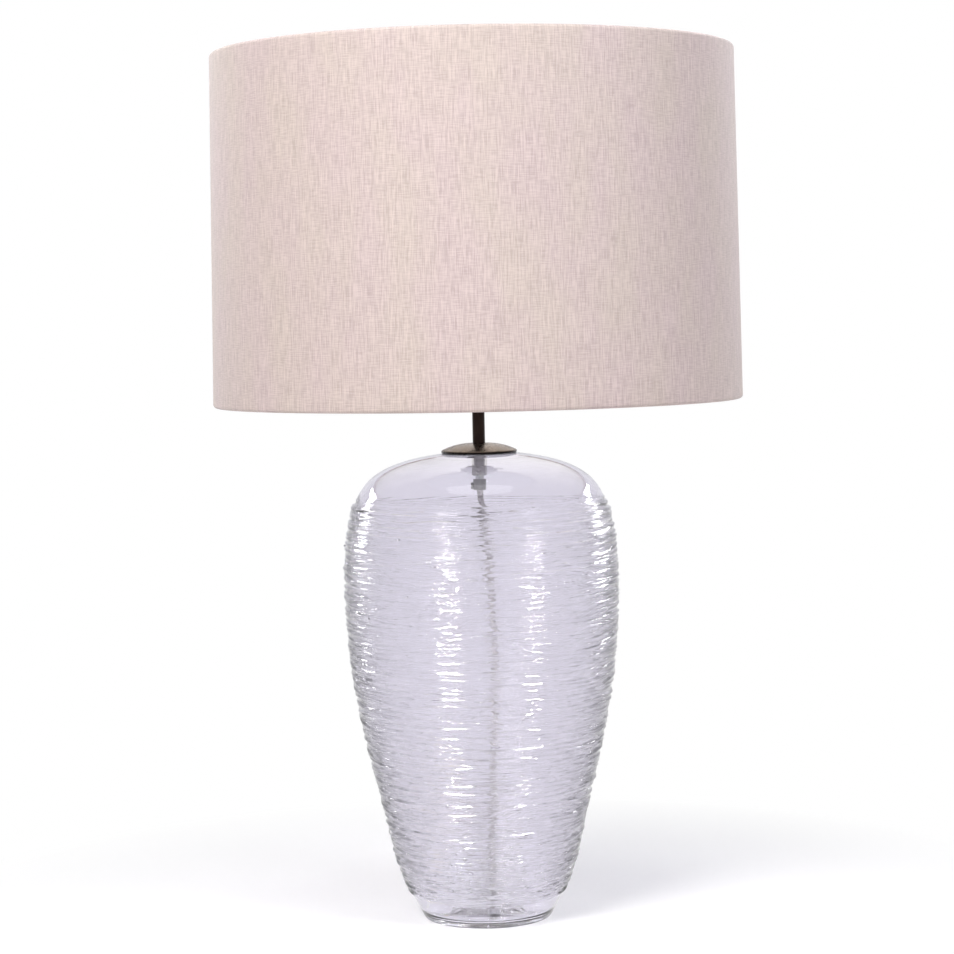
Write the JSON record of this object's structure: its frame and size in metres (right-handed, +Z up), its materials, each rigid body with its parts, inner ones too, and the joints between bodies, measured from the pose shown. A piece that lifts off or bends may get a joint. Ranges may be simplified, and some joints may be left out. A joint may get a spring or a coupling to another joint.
{
  "type": "table lamp",
  "caption": "Table lamp: hand-blown glass vase wound with fine glass trails, bronze cap and slim stem, screw lampholder with push-bar switch, wide linen drum shade.",
  "frame": {"origin": "centre of the foot on the table, below the lamp's axis", "axes": "+Z up along the stem, -Y to the front of the lamp, +Y to the flex hole in the foot, +X to the right"},
  "size_m": [0.508, 0.5079, 0.8345],
  "materials": {
    "clear_glass": "clear blown glass, fire polished",
    "clear_silicone": "clear silicone rubber",
    "bronze": "polished antique bronze on brass",
    "dark_bronze": "dark bronze, satin",
    "plated_steel": "zinc plated",
    "brass": "bare brass",
    "bulb_metal": "rolled aluminium",
    "opal_glass": "opal glass",
    "grey_nylon": "moulded nylon",
    "core_plastic": "PVC core insulation",
    "holder_ceramic": "unglazed ceramic",
    "black_plastic": "moulded phenolic",
    "linen": "slub linen laminated to the liner",
    "white_liner": "white styrene sheet",
    "white_wire": "white powder coat",
    "silver_flex": "clear PVC sheath over silver cores",
    "tie_band": "woven hook and loop band",
    "white_plastic": "moulded urea plastic"
  },
  "bodies": {
    "base": {"vase_glass": "clear_glass", "glass_trail": "clear_glass", "bond_ring": "clear_silicone", "vase_cap": "bronze", "locating_plate": "bronze", "plate_washer": "plated_steel", "clamp_nuts": "plated_steel", "earth_tag": "plated_steel", "conduit": "plated_steel", "stem_tube": "dark_bronze", "cord_grip": "grey_nylon", "grip_screw": "grey_nylon", "flex_cores": "core_plastic", "holder_cap": "dark_bronze", "switch_block": "holder_ceramic", "terminal_screws": "brass", "centre_contact": "brass", "holder_barrel": "dark_bronze", "screw_shell": "brass", "foot_grommet": "clear_silicone", "flex_inside": "silver_flex", "flex_lead": "silver_flex", "flex_coil": "silver_flex", "flex_to_plug": "silver_flex", "flex_in_foot": "silver_flex", "flex_in_plug": "silver_flex", "coil_tie": "tie_band", "cord_guard": "white_plastic", "plug_cover": "white_plastic", "plug_base": "white_plastic", "plug_pins": "brass", "plug_screw": "plated_steel", "plug_fuse": "holder_ceramic"},
    "switch_bar": {"switch_bar": "black_plastic"},
    "shade_ring": {"shade_ring": "dark_bronze"},
    "bulb": {"bulb_cap": "bulb_metal", "bulb_glass": "opal_glass"},
    "shade": {"shade_fabric": "linen", "shade_liner": "white_liner", "shade_bottom_wire": "white_wire", "shade_top_wire": "white_wire", "fitter_ring": "white_wire", "spider_arms": "white_wire"}
  },
  "joints": [
    {"name": "switch_push", "type": "slide", "parent": "base", "child": "switch_bar", "axis": [1, 0, 0], "range_m": [-0.006, 0]},
    {"name": "shade_turn", "type": "hinge", "parent": "base", "child": "shade", "pos_m": [0, 0, 0.53], "axis": [0, 0, 1], "continuous": true},
    {"name": "ring_unscrew", "type": "hinge", "parent": "base", "child": "shade_ring", "pos_m": [0, 0, 0.534], "axis": [0, 0, 1], "range_deg": [0, 1080]},
    {"name": "bulb_unscrew", "type": "hinge", "parent": "base", "child": "bulb", "pos_m": [0, 0, 0.54], "axis": [0, 0, 1], "range_deg": [0, 1080]}
  ]
}
